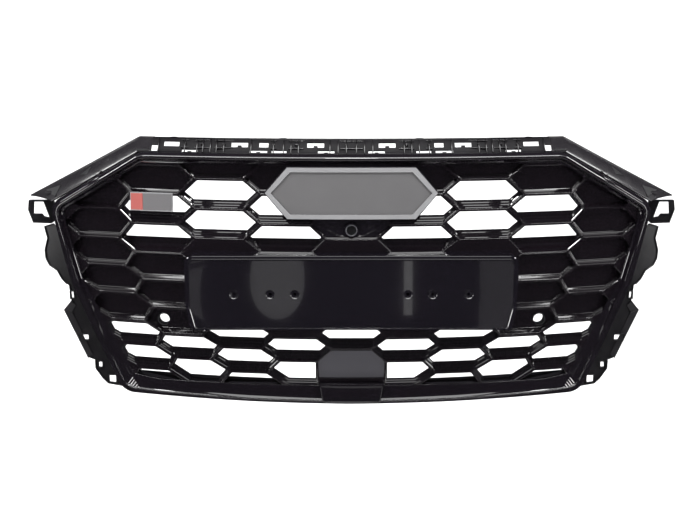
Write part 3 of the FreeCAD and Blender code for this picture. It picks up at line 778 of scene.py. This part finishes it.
def makeRail(material):
    windows = []
    for (low, high), group in rail["windows"]:
        windows += [(x - width / 2, x + width / 2, low, high, tongue)
                    for x, width, tongue in bothSides(group)]
    edges, tongue = [], rail["tongueHalf"]
    for left, right, *_ in windows:
        middle = (left + right) / 2
        edges += [left, right, middle - tongue, middle + tongue]
    across = gridStops(edges, -rail["reach"], rail["reach"], rail["step"])
    heights = [z for y, z in rail["section"]] + [z for levels, _ in rail["windows"] for z in levels]
    levels = gridStops([*heights, rail["tongueZ"]], rail["section"][0][1], 0.0, rail["rowStep"])
    work = bmesh.new()
    rows = []
    for y, z in [(alongSection(rail["section"], z), z) for z in levels] + [(rail["section"][-1][0], 0.0)]:
        rows.append([work.verts.new(metres((x, y + railBack(x), z + rail["top"]))) for x in across])
    for j, (near, far) in enumerate(zip(rows, rows[1:])):
        for i in range(len(across) - 1):
            midX = (across[i] + across[i + 1]) / 2
            midZ = (levels[j] + levels[j + 1]) / 2 if j + 1 < len(levels) else 5.0
            if not inWindow(midX, midZ, windows):
                work.faces.new((near[i], near[i + 1], far[i + 1], far[i]))
    loose = [v for v in work.verts if not v.link_faces]
    bmesh.ops.delete(work, geom=loose, context="VERTS")
    shape = bpy.data.meshes.new("railStrip")
    work.to_mesh(shape)
    work.free()
    strip = addObject("railStrip", shape)
    solid = strip.modifiers.new("thickness", "SOLIDIFY")
    solid.thickness = rail["thickness"] * 0.001
    solid.offset = -1
    finishPiece(strip, material, ["upper_rail"], bevel=0.55)
    strip.data.shade_smooth()


def makeRailDetails(material):
    ribs, pads, line, eyes = Shape(), Shape(), Shape(), Shape()
    for x, in bothSides((place,) for place in rail["ribs"]):
        ribs.solid([[(x + half, y + railBack(x), z + rail["top"]) for y, z in rail["ribSection"]]
                    for half in (-rail["ribHalf"], rail["ribHalf"])])
    ribs.make("railRibs", material, "rail_black", bevel=0.3)
    for x, width in bothSides(rail["pads"]):
        back = railBack(x)
        for low, high in rail["padZ"]:
            near, far = (alongSection(rail["section"], z) + back for z in (low, high))
            pads.box((x - width / 2, near - 1.5, low), (x + width / 2, far + 1.2, high))
        (low, middle, high), half = rail["studZ"], rail["studHalf"]
        y = alongSection(rail["section"], middle) + back
        pads.box((x - half, y - 2.6, low), (x + half, y + 1.0, high))
    pads.make("railClips", material, "rail_black", bevel=0.4)
    for y, z in rail["beads"]:
        line.solid([[(x, y + railBack(x) + a, z + b) for a, b in arc(rail["bead"], 8)[:-1]]
                    for x in gridStops([], -rail["reach"], rail["reach"], 12.0)])
    line.make("railBeads", material, "rail_black")
    for x, y in bothSides(rail["holes"]):
        eyes.loft(turned(rail["eye"], (x, y, 0.0), (0, 0, 1), 32))
    eyes.make("railEyes", material, "rail_black")


# wing panels, left and right

wing = {
    # inner x, z and outer x, z along the panel; then how far each edge lies behind the front face
    "ends": [((-323.5, -19.5), (-323.5, -0.5)), ((-346.0, -20.5), (-350.0, -0.5)),
             ((-424.0, -64.0), (-452.0, -54.0)), ((-500.0, -106.0), (-553.0, -106.0))],
    "innerBack": 9.0, "outerBack": 50.0, "crown": 3.4, "steps": 64, "under": (0.4, 1.7, -1.6),
    # share of the way out and rise of the section's edges
    "innerEdge": [(0.0, -1.6), (0.02, -0.4), (0.07, 0.0)],
    "outerEdge": [(0.93, 0.2), (0.955, 1.4), (0.975, 1.7), (1.0, 1.2), (1.0, -0.8)],
    "gussets": [((-327, -18), (-346, -2), (-349, -19)), ((-437, -61), (-433, -50), (-452, -64)),
                ((-487, -82), (-519, -93), (-494, -99))],
    # x, z and width of the clips, then the lowest and highest z of their two bars
    "slots": [(-414.0, -57.5, 12.0), (-508.0, -99.0, 12.0)], "bars": [(2.6, 3.8), (-3.4, -2.2)],
}


def alongWing(t):
    # the panel's inner and outer point at a share of its inner edge's length
    ends = wing["ends"]
    lengths = [0.0]
    for (a, _), (b, _) in zip(ends, ends[1:]):
        lengths.append(lengths[-1] + dist(a, b))
    place = t * lengths[-1]
    i = next((i for i in range(len(ends) - 2) if place <= lengths[i + 1]), len(ends) - 2)
    share = (place - lengths[i]) / (lengths[i + 1] - lengths[i])
    return [between(a, b, share) for a, b in zip(ends[i], ends[i + 1])]


def wingPoint(t, v, lift=0.0):
    inner, outer = alongWing(t)
    ends = onFace(*inner, -wing["innerBack"]), onFace(*outer, -wing["outerBack"])
    bulge = sin(pi * v) * wing["crown"] + lift
    x, y, z = between(*ends, v)
    return x - bulge * 0.25, y - bulge * 0.62, z + bulge * 0.70


def nearestWing(x, z):
    # how far back the panel lies at x, z
    points = [wingPoint(i / 64, j / 12) for i in range(65) for j in range(13)]
    return min(points, key=lambda point: (point[0] - x) ** 2 + (point[2] - z) ** 2)[1]


def makeWing(side, name, material):
    shape, gussets, clips = Shape(), Shape(), Shape()
    profile = [*wing["innerEdge"], *((v / 12, 0.0) for v in range(2, 11)), *wing["outerEdge"]]
    loops = []
    for i in range(wing["steps"] + 1):
        top = [wingPoint(i / wing["steps"], v, lift) for v, lift in profile]
        low = [tuple(a + b for a, b in zip(point, wing["under"])) for point in top[::-1]]
        loops.append([(side * -x, y, z) for x, y, z in top + low])
    shape.solid(loops)
    shape.make(f"wing_{name}", material, "wing_black", stands=[f"wing_panel_{name}"], crease=40)
    for corners in wing["gussets"]:
        gussets.solid([[(side * -x, nearestWing(x, z) + back, z) for x, z in corners]
                       for back in (2.4, -2.2)])
    gussets.make(f"wingGussets_{name}", finishes["housing"], "wing_black", bevel=0.4)
    for x, z, width in wing["slots"]:
        middle, y = side * -x, nearestWing(x, z)
        for low, high in wing["bars"]:
            clips.box((middle - width / 2, y - 1.6, z + low), (middle + width / 2, y + 2.0, z + high))
    clips.make(f"wingClips_{name}", material, "wing_black", bevel=0.3)


# edges and folds of the side brackets and hooks

bracket = {
    "back": 17.0, "bead": 1.3,
    "beads": [[(-499, -146), (-517, -152), (-512, -171), (-518, -192), (-517, -206), (-511, -217),
               (-497, -225), (-489, -239), (-482, -246), (-476, -248), (-473, -274)],
              [(-487, -293), (-449, -374)], [(-437, -379), (-437, -394), (-425, -411), (-415, -420)],
              [(-477, -300), (-444, -368)]],
    # folds: outline, outer edge first, and how far that edge stands towards the front
    "folds": [([(-488, -292), (-449, -375), (-441, -369), (-473, -297)], 5.0),
              ([(-488, -292), (-474, -276), (-466, -283), (-475, -297)], 4.0)],
    "foldSunk": 0.3, "foldFlat": 0.5, "frameGap": 0.9, "frameHalf": 0.7, "frameEnd": 1.4,
    # window frames: middle, width and height of the window
    "frames": [((-408, -410.5), 12, 13), ((-454.5, -339), 15, 9),
               ((-428, -386), 6, 10), ((-471.5, -265.5), 5, 11)],
    # the hook's rim, on its front at hookY; below hookLow it has a raised edge
    "hookRim": [(-551, -113), (-553, -128), (-546, -150), (-515, -151), (-505, -142), (-511, -113)],
    "hookY": 77.2, "hookLow": -130, "hookRise": 1.6,
}


def beadAlong(shape, side, path, back, radius, sink=0.0):
    # a round bead along a line, set back from the front face, and further back towards its end
    loops, dense = [], []
    for a, b in zip(path, path[1:]):
        count = max(1, round(dist(a, b) / 5))
        dense += [between(a, b, i / count) for i in range(count)]
    dense.append(path[-1])
    for i, (x, z) in enumerate(dense):
        before, after = dense[max(i - 1, 0)], dense[min(i + 1, len(dense) - 1)]
        length = dist(before, after)
        nx, nz = (after[1] - before[1]) / length, -(after[0] - before[0]) / length
        y = faceY(x, z, -back - sink * i / (len(dense) - 1))
        loops.append([(side * -(x + nx * a), y - 0.9 * b, z + nz * a) for a, b in arc(radius, 8)[:-1]])
    shape.solid(loops)


def makeBracketDetails(side, name, material):
    beads, folds, frames = Shape(), Shape(), Shape()
    for path in bracket["beads"]:
        beadAlong(beads, side, path, bracket["back"], bracket["bead"])
    for ends in zip(bracket["hookRim"], bracket["hookRim"][1:]):
        rises = [(x, z + (bracket["hookRise"] if z < bracket["hookLow"] else 0)) for x, z in ends]
        loop = [(side * -x, bracket["hookY"], z) for x, z in [*ends, *rises[::-1]]]
        beads.solid([loop, [(x, y + 2.0, z) for x, y, z in loop]])
    beads.make(f"bracketBeads_{name}", material, "bracket_black", crease=50)
    for outline, rise in bracket["folds"]:
        base = [(side * -x, faceY(x, z, bracket["foldSunk"] - bracket["back"]), z) for x, z in outline]
        top = [(x, y - (rise if i < 2 else bracket["foldFlat"]), z) for i, (x, y, z) in enumerate(base)]
        folds.solid([base, top])
    folds.make(f"bracketFolds_{name}", finishes["fold"], "bracket_black", bevel=0.5)
    half, end = bracket["frameHalf"], bracket["frameEnd"]
    for (x, z), width, height in bracket["frames"]:
        y = faceY(x, z, -bracket["back"])
        wide, tall = width / 2 + bracket["frameGap"], height / 2 + bracket["frameGap"]
        for way in (-1, 1):
            for midX, midZ, halfX, halfZ in ((side * -x + way * wide, z, half, height / 2 + end),
                                             (side * -x, z + way * tall, width / 2 + end, half)):
                frames.box((midX - halfX, y - 2.2, midZ - halfZ), (midX + halfX, y + 1.0, midZ + halfZ))
    frames.make(f"bracketFrames_{name}", material, "bracket_black", bevel=0.3)


# raised lip of the camera pod's bowl

pod = {
    "lip": [(-53, -125), (-37, -140), (-20, -149), (0, -151), (20, -149), (37, -140), (53, -125)],
    "inner": [(-46, -121), (-30, -136), (-14, -121)], "back": 6.4, "bead": 1.1, "ringBead": 0.9,
}


def makePodLines(material):
    lines = Shape()
    beadAlong(lines, 1, pod["lip"], pod["back"], pod["bead"])
    for side in (-1, 1):
        beadAlong(lines, side, pod["inner"], pod["back"], pod["bead"] * 0.7)
    lines.make("podLip", material, "pod_gloss", crease=50)
    low, high = nodeBox("camera_ring")
    middle = ((low[0] + high[0]) / 2, low[1], (low[2] + high[2]) / 2)
    radius, thick = (high[0] - low[0]) / 2 - 1.0, pod["ringBead"]
    profile = [(radius + a, 0.7 * b) for a, b in arc(thick, 12)]
    ring = Shape()
    ring.loft(turned(profile, middle))
    ring.make("podRing", finishes["ring"], "ring_gloss", crease=60)


# finishes

def glossBlack(name, colour, roughness=0.07, ripple=0.00006, dust=0.3):
    # lacquered plastic: a slow ripple in the gloss, fine dust and hairline wear
    sheet = Sheet(name)
    slow = sheet.noise(9.0, 2.0)
    peel = sheet.noise(70.0, 1.0, 0.3)
    specks = sheet.ramp(sheet.cells(420.0), [(0.0, 1), (0.02, 0.4), (0.04, 0)])
    cloud = sheet.ramp(sheet.noise(22.0, 4.0, 0.6), [(0.42, 0), (0.72, 1)])
    haze = specks * cloud * dust
    lighter = tuple(min(1.0, c * 2.2 + 0.03) for c in colour)
    base = sheet.blend(slow, colour, tuple(c * 1.35 for c in colour))
    sheet.set(colour=sheet.blend(haze.clamped(), base, lighter),
              roughness=(roughness + cloud * 0.03 + haze * 0.1), ior=1.5, coat=1.0, coatRoughness=0.02,
              normal=sheet.bump(slow + peel * 0.05, ripple, 0.35))
    return sheet.material


def mouldedBlack(name, colour, roughness, grain=900.0, depth=0.00005, specular=0.5):
    # unpainted moulded plastic: fine grain, flow marks and paler rubbed patches
    sheet = Sheet(name)
    grains = sheet.noise(grain, 3.0, 0.6)
    flow = sheet.noise(3.0, 4.0, place=sheet.stretched((4, 4, 22)))
    rubbed = sheet.ramp(sheet.noise(38.0, 5.0, 0.65), [(0.5, 0), (0.78, 1)])
    base = sheet.blend(flow, tuple(c * 0.8 for c in colour), tuple(c * 1.25 for c in colour))
    sheet.set(colour=sheet.blend(rubbed * 0.3, base, tuple(c * 1.9 + 0.01 for c in colour)),
              roughness=(roughness + rubbed * 0.08 + (grains - 0.5) * 0.1), specular=specular,
              normal=sheet.bump(grains, depth, 0.6))
    return sheet.material


def brightMetal(name, colour, roughness, brushed=0.0, bumpDepth=0.00003, metallic=1.0):
    # plated or painted metal: brush lines or a fine grain, and faint stains
    sheet = Sheet(name)
    lines = sheet.noise(1.0, 4.0, place=sheet.stretched((30, 30, 2400) if brushed else (60, 60, 60)))
    stain = sheet.noise(30.0, 4.0, 0.6)
    sheet.set(colour=sheet.blend(stain, tuple(c * 0.88 for c in colour), colour),
              roughness=(roughness + stain * 0.06 + (lines - 0.5) * brushed), metallic=metallic,
              normal=sheet.bump(lines, bumpDepth, 0.2 + brushed))
    return sheet.material


def lacquer(name, colour):
    # coloured lacquer with a sparse flake
    sheet = Sheet(name)
    cloud = sheet.noise(60.0, 3.0)
    flake = sheet.ramp(sheet.cells(2600.0), [(0.0, 1), (0.1, 0)])
    base = sheet.blend(cloud, tuple(c * 0.85 for c in colour), colour)
    sheet.set(colour=sheet.blend(flake * 0.15, base, (1.0, 0.6, 0.55)), roughness=0.25 + cloud * 0.08,
              coat=1.0, coatRoughness=0.03, normal=sheet.bump(cloud, 0.00004, 0.4))
    return sheet.material


def floorFinish():
    sheet = Sheet("paleFloor")
    slow = sheet.noise(1.4, 3.0)
    fine = sheet.noise(120.0, 2.0)
    sheet.set(colour=sheet.blend(slow, (0.9, 0.9, 0.9), (0.93, 0.93, 0.93)), roughness=0.7 + slow * 0.1,
              normal=sheet.bump(fine, 0.0003, 0.2))
    return sheet.material


finishes = {
    "comb": glossBlack("combGloss", (0.0036, 0.0026, 0.0036)),
    "surround": glossBlack("surroundGloss", (0.0036, 0.0028, 0.004), 0.06),
    "plinth": glossBlack("plinthGloss", (0.0036, 0.003, 0.0046), 0.05),
    "frame": mouldedBlack("frameBlack", (0.011, 0.010, 0.012), 0.34),
    "rail": mouldedBlack("railBlack", (0.005, 0.0045, 0.0055), 0.4, 700.0, 0.00003, 0.12),
    "railGloss": mouldedBlack("railGloss", (0.006, 0.0055, 0.0065), 0.1, 700.0, 0.00001, 0.9),
    "wing": mouldedBlack("wingBlack", (0.012, 0.011, 0.0125), 0.2, 500.0, 0.00002),
    "bracket": mouldedBlack("bracketBlack", (0.006, 0.0055, 0.0065), 0.3, specular=0.35),
    "housing": mouldedBlack("housingBlack", (0.010, 0.010, 0.011), 0.5),
    "pod": glossBlack("podGloss", (0.006, 0.005, 0.007), 0.07),
    "ring": glossBlack("ringGloss", (0.05, 0.05, 0.055), 0.08),
    "plug": mouldedBlack("plugBlack", (0.004, 0.004, 0.005), 0.45),
    # the radar cover is dark glossy plastic; its lighter grey base is partly a painted reflection over its
    # own dark tone
    "radar": glossBlack("radarGlossPaintedReflection", (0.026, 0.025, 0.03), 0.12, 0.00004),
    "emblemBase": glossBlack("emblemGloss", (0.009, 0.008, 0.010), 0.08),
    # the ribs are black plastic; this pale grey is a painted highlight, so that they show as bright strokes
    "rib": mouldedBlack("ribPaintedHighlight", (0.5, 0.49, 0.5), 0.25),
    "fold": mouldedBlack("foldBlack", (0.013, 0.012, 0.0135), 0.3),
    "chrome": brightMetal("chrome", (0.5, 0.5, 0.51), 0.1, metallic=0.6),
    "satin": brightMetal("satinMetal", (0.15, 0.147, 0.15), 0.34, 0.12, metallic=0.4),
    "badgeChrome": brightMetal("badgeChrome", (0.62, 0.62, 0.63), 0.14, metallic=0.6),
    "badgeSatin": brightMetal("badgeSatin", (0.17, 0.165, 0.17), 0.38, 0.1, metallic=0.4),
    "red": lacquer("badgeRed", (0.33, 0.085, 0.075)),
    "zinc": brightMetal("zincScrew", (0.56, 0.55, 0.52), 0.3),
    "spring": brightMetal("springSteel", (0.2, 0.2, 0.22), 0.35),
    "floor": floorFinish(),
}
print("finishes made")

# every CAD node's finish and how far its edges are softened; replaced nodes have theirs too, though hidden
nodeLooks = {
    "surround_bezel": ("surround", 0), "carrier_frame": ("frame", 0.5), "honeycomb_mesh": ("comb", 0),
    "plate_plinth": ("plinth", 0), "upper_rail": ("rail", 0),
    "wing_panel_left": ("wing", 0), "wing_panel_right": ("wing", 0),
    "shoulder_hook_left": ("bracket", 0.7), "shoulder_hook_right": ("bracket", 0.7),
    "side_bracket_left": ("bracket", 0.6), "side_bracket_right": ("bracket", 0.6),
    "emblem_base": ("emblemBase", 0.8), "emblem_rim": ("chrome", 0.7), "emblem_inlay": ("satin", 0.6),
    "emblem_push_nuts": ("spring", 0), "badge_plate": ("badgeChrome", 0.6), "badge_red_block": ("red", 0.5),
    "badge_grey_block": ("badgeSatin", 0.5), "camera_pod": ("pod", 0.5), "camera_ring": ("ring", 0.3),
    "camera_plug": ("plug", 0), "radar_cover": ("radar", 1.2), "radar_housing": ("housing", 0.6),
    "sensor_holder_left": ("housing", 0), "sensor_holder_right": ("housing", 0),
    "frame_screws": ("zinc", 0), "plinth_screws": ("zinc", 0), "radar_screws": ("zinc", 0),
}
for nodeName, (finishName, width) in nodeLooks.items():
    node = bpy.data.objects[nodeName]
    node.data.materials.clear()
    node.data.materials.append(finishes[finishName])
    if width:
        softenEdges(node, width)
print("CAD nodes finished")

# the pieces

makeSurround(finishes["surround"])
makeComb(finishes["comb"])
makePlinth(finishes["plinth"])
print("surround, honeycomb and plinth made")
makeRail(finishes["rail"])
makeRailDetails(finishes["railGloss"])
for side, name in ((-1, "left"), (1, "right")):
    makeWing(side, name, finishes["wing"])
    makeBracketDetails(side, name, finishes["bracket"])
makePodLines(finishes["pod"])
print("rail, wings, brackets and pod lip made")

# camera

cameraPlace = {"distance": 1.650, "tilt": 12.0, "aimY": -0.066, "aimZ": -0.190,
               "lens": 53.46, "sensor": 36, "shift": -0.002, "clipEnd": 50}


def makeCamera():
    tilt = radians(cameraPlace["tilt"])
    lens = bpy.data.cameras.new("camera")
    lens.lens = cameraPlace["lens"]
    lens.sensor_width = cameraPlace["sensor"]
    lens.shift_x = cameraPlace["shift"]
    lens.clip_end = cameraPlace["clipEnd"]
    camera = addObject("camera", lens)
    camera.location = (0, cameraPlace["aimY"] - cameraPlace["distance"] * cos(tilt),
                       cameraPlace["aimZ"] + cameraPlace["distance"] * sin(tilt))
    camera.rotation_euler = (pi / 2 - tilt, 0, 0)
    bpy.context.scene.camera = camera


makeCamera()

# light and floor

studio = {
    "floorDrop": 0.5, "reflected": 0.04, "around": 1.0, "reflectedColour": (0.9, 0.86, 1),
    "floorHalf": 9.0, "floorFront": -7.0, "sweepStart": 1.2, "sweepRadius": 1.6, "sweepTop": 7.0,
    "lamps": [
        # name, place, aim, width, height, watts
        ("overhead", (0.0, -0.45, 1.9), (0, 0, -0.1), 3.0, 1.0, 44),
        ("frontTop", (0.0, -2.0, 1.6), (0, 0, -0.2), 2.6, 0.5, 13),
        ("wide", (0.0, -0.45, 1.95), (0, 0, -0.1), 5.6, 1.2, 36),
        ("strip", (0.0, -1.0, 1.5), (0, 0, -0.2), 3.4, 0.06, 17),
        ("leftTop", (-2.1, 0.3, 1.4), (-0.4, 0, -0.1), 0.5, 0.5, 15),
        ("rightTop", (2.1, 0.3, 1.4), (0.4, 0, -0.1), 0.5, 0.5, 15),
        ("leftSide", (-2.2, -0.8, 0.1), (-0.3, 0, -0.25), 0.3, 1.2, 12),
        ("rightSide", (2.2, -0.8, 0.1), (0.3, 0, -0.25), 0.3, 1.2, 12),
        ("below", (0.0, -0.55, -1.10), (0, -0.1, -0.2), 2.2, 0.2, 2.5),
        ("key", (0.0, -0.9, 1.4), (0, 0, -0.2), 0.3, 0.16, 7),
        ("radarCard", (0.0, -1.2, -0.905), (0, 0, -0.36), 0.5, 0.2, 0.115),
        ("lowCard", (-0.30, -2.6, -0.80), (-0.12, 0, -0.22), 0.22, 0.30, 0.075),
        ("leftCard", (-0.62, -2.6, -0.80), (-0.2, 0, -0.22), 0.05, 0.5, 0.02),
        ("midStrip", (0.23, -2.6, -0.72), (0.1, 0, -0.22), 0.035, 0.42, 0.04),
        ("rightCard", (0.60, -2.6, -0.80), (0.2, 0, -0.22), 0.16, 0.5, 0.05),
    ],
}


def makeLamp(name, place, aim, width, height, watts):
    light = bpy.data.lights.new(name, "AREA")
    light.shape = "ELLIPSE" if name == "lowCard" else "RECTANGLE"
    light.size, light.size_y = width, height
    light.energy = watts
    lamp = addObject(name, light)
    lamp.location = place
    lamp.rotation_euler = (Vector(aim) - Vector(place)).to_track_quat("-Z", "Y").to_euler()


for lampValues in studio["lamps"]:
    makeLamp(*lampValues)


def makeWorld():
    # white round the object; its gloss reflects a darker room, so that black stays black
    sheet = Sheet("studio", "worlds")
    bpy.context.scene.world = sheet.material
    white, output = sheet.tree.nodes["Background"], sheet.tree.nodes["World Output"]
    sheet.plug(white.inputs["Color"], (1, 1, 1))
    sheet.plug(white.inputs["Strength"], studio["around"])
    glossy = sheet.node("ShaderNodeLightPath", output="Is Glossy Ray")
    dark = sheet.node("ShaderNodeBackground", {}, {
        "Color": studio["reflectedColour"], "Strength": studio["reflected"]})
    mix = sheet.node("ShaderNodeMixShader", {}, {0: glossy, 1: white.outputs[0], 2: dark})
    sheet.plug(output.inputs[0], mix)


makeWorld()


def makeFloor():
    # a paper sweep: flat under the object, then curving up behind it
    low = cadBox[0][2] - studio["floorDrop"]
    start, radius, half = studio["sweepStart"], studio["sweepRadius"], studio["floorHalf"]
    path = [(studio["floorFront"], low), (start, low)]
    path += [(start + a, low + radius + b) for a, b in arc(radius, 12, -pi / 2, pi / 2)[1:]]
    path += [(start + radius, low + studio["sweepTop"])]
    points = [(x, y, z) for y, z in path for x in (-half, 0.0, half)]
    corners = [3 * row + i for row in range(len(path) - 1) for i in (0, 1)]
    shape = bpy.data.meshes.new("floor")
    shape.from_pydata(points, [], [(i, i + 1, i + 4, i + 3) for i in corners])
    shape.shade_smooth()
    floor = addObject("floor", shape)
    floor.data.materials.append(finishes["floor"])
    floor.visible_glossy = False


makeFloor()
scene = bpy.context.scene
scene.view_settings.view_transform = "Standard"
scene.view_settings.look = "None"

print("scene ready")
